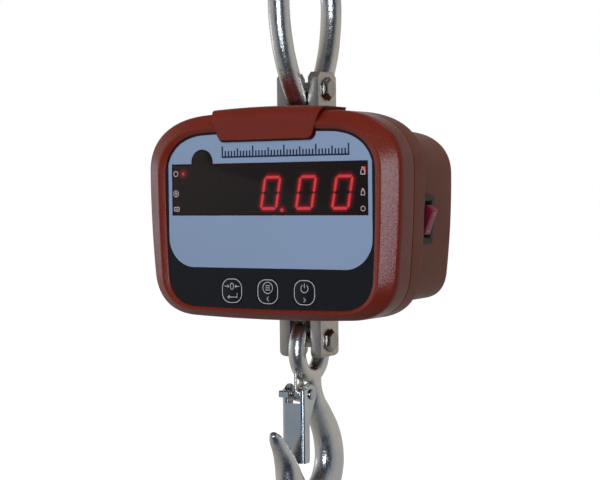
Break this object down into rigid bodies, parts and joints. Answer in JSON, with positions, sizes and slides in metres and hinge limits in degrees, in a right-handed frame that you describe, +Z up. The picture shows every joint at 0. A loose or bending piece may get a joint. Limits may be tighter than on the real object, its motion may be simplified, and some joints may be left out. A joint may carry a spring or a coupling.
{
  "type": "crane scale",
  "caption": "Hanging electronic crane scale: lifting ring, forked load cell, safety-latch hook and a two-part housing with numeric display, keys and rocker switch.",
  "frame": {"origin": "crown of the ring's eye, where the crane hook bears", "axes": "+Z up along the load line, +X to the reader's right, -Y out of the display"},
  "size_m": [0.2626, 0.1289, 0.5314],
  "materials": {
    "forged_steel": "forged, zinc plated, glossy with fine hammering",
    "plated_steel": "zinc plated",
    "machined_steel": "machined, satin",
    "shell_red_brown": "satin enamel with a fine orange peel",
    "shell_brown": "satin enamel",
    "black_plastic": "moulded",
    "black_rubber": "matt",
    "green_board": "solder mask",
    "panel_film": "printed polycarbonate film",
    "key_film": "printed polycarbonate film",
    "smoked_window": "dark red filter, clear gloss",
    "rocker_red": "translucent moulding",
    "battery_case": "moulded"
  },
  "bodies": {
    "lifting_ring": {"lifting_ring": "forged_steel"},
    "housing": {"top_bolt": "plated_steel", "bottom_bolt": "plated_steel", "load_cell": "machined_steel", "load_cell_bracket_left": "plated_steel", "load_cell_bracket_right": "plated_steel", "front_shell": "shell_red_brown", "brow_cover": "shell_red_brown", "back_shell": "shell_brown", "battery_door": "shell_brown", "housing_gasket": "black_rubber", "top_seal": "black_rubber", "bottom_seal": "black_rubber", "front_overlay": "panel_film", "display_window": "smoked_window", "display_board": "green_board", "key_board": "green_board", "main_board": "green_board", "ir_receiver": "black_plastic", "battery": "battery_case", "battery_strap": "black_plastic", "switch_frame": "black_plastic", "switch_body": "black_plastic", "charge_socket": "black_plastic", "digit_module_1": "black_plastic", "digit_module_2": "black_plastic", "digit_module_3": "black_plastic", "digit_module_4": "black_plastic", "digit_module_5": "black_plastic", "key_switch_1": "black_plastic", "key_switch_2": "black_plastic", "key_switch_3": "black_plastic", "housing_screw_1": "plated_steel", "battery_door_screw_1": "plated_steel", "housing_screw_2": "plated_steel", "battery_door_screw_2": "plated_steel", "housing_screw_3": "plated_steel", "battery_door_screw_3": "plated_steel", "housing_screw_4": "plated_steel", "battery_door_screw_4": "plated_steel", "bracket_screw_left_lower": "plated_steel", "bracket_screw_left_upper": "plated_steel", "bracket_screw_right_lower": "plated_steel", "bracket_screw_right_upper": "plated_steel"},
    "hook": {"hook": "forged_steel", "latch_pin": "plated_steel"},
    "latch": {"latch": "plated_steel", "latch_spring": "machined_steel"},
    "rocker": {"power_rocker": "rocker_red"},
    "zero_key": {"key_zero": "key_film"},
    "menu_key": {"key_menu": "key_film"},
    "power_key": {"key_power": "key_film"}
  },
  "joints": [
    {"name": "ring_swing", "type": "hinge", "parent": "lifting_ring", "child": "housing", "pos_m": [0, 0, -0.1145], "axis": [1, 0, 0], "range_deg": [-25, 60]},
    {"name": "hook_swing", "type": "hinge", "parent": "housing", "child": "hook", "pos_m": [0, 0, -0.3428], "axis": [1, 0, 0], "range_deg": [-55, 55]},
    {"name": "latch_hinge", "type": "hinge", "parent": "hook", "child": "latch", "pos_m": [0, -0.0174, -0.3904], "axis": [1, 0, 0], "range_deg": [0, 41], "stiffness_Nm_per_rad": 0.06, "springref_deg": -34.38, "deforming": ["latch_spring"]},
    {"name": "power_switch", "type": "hinge", "parent": "housing", "child": "rocker", "pos_m": [0.1177, 0.001, -0.23223], "axis": [0, 1, 0], "range_deg": [-37, 0]},
    {"name": "zero_press", "type": "slide", "parent": "housing", "child": "zero_key", "axis": [0, 1, 0], "range_m": [0, 0.0005], "stiffness_N_per_m": 4000, "springref_m": -0.0004},
    {"name": "menu_press", "type": "slide", "parent": "housing", "child": "menu_key", "axis": [0, 1, 0], "range_m": [0, 0.0005], "stiffness_N_per_m": 4000, "springref_m": -0.0004},
    {"name": "power_press", "type": "slide", "parent": "housing", "child": "power_key", "axis": [0, 1, 0], "range_m": [0, 0.0005], "stiffness_N_per_m": 4000, "springref_m": -0.0004}
  ]
}
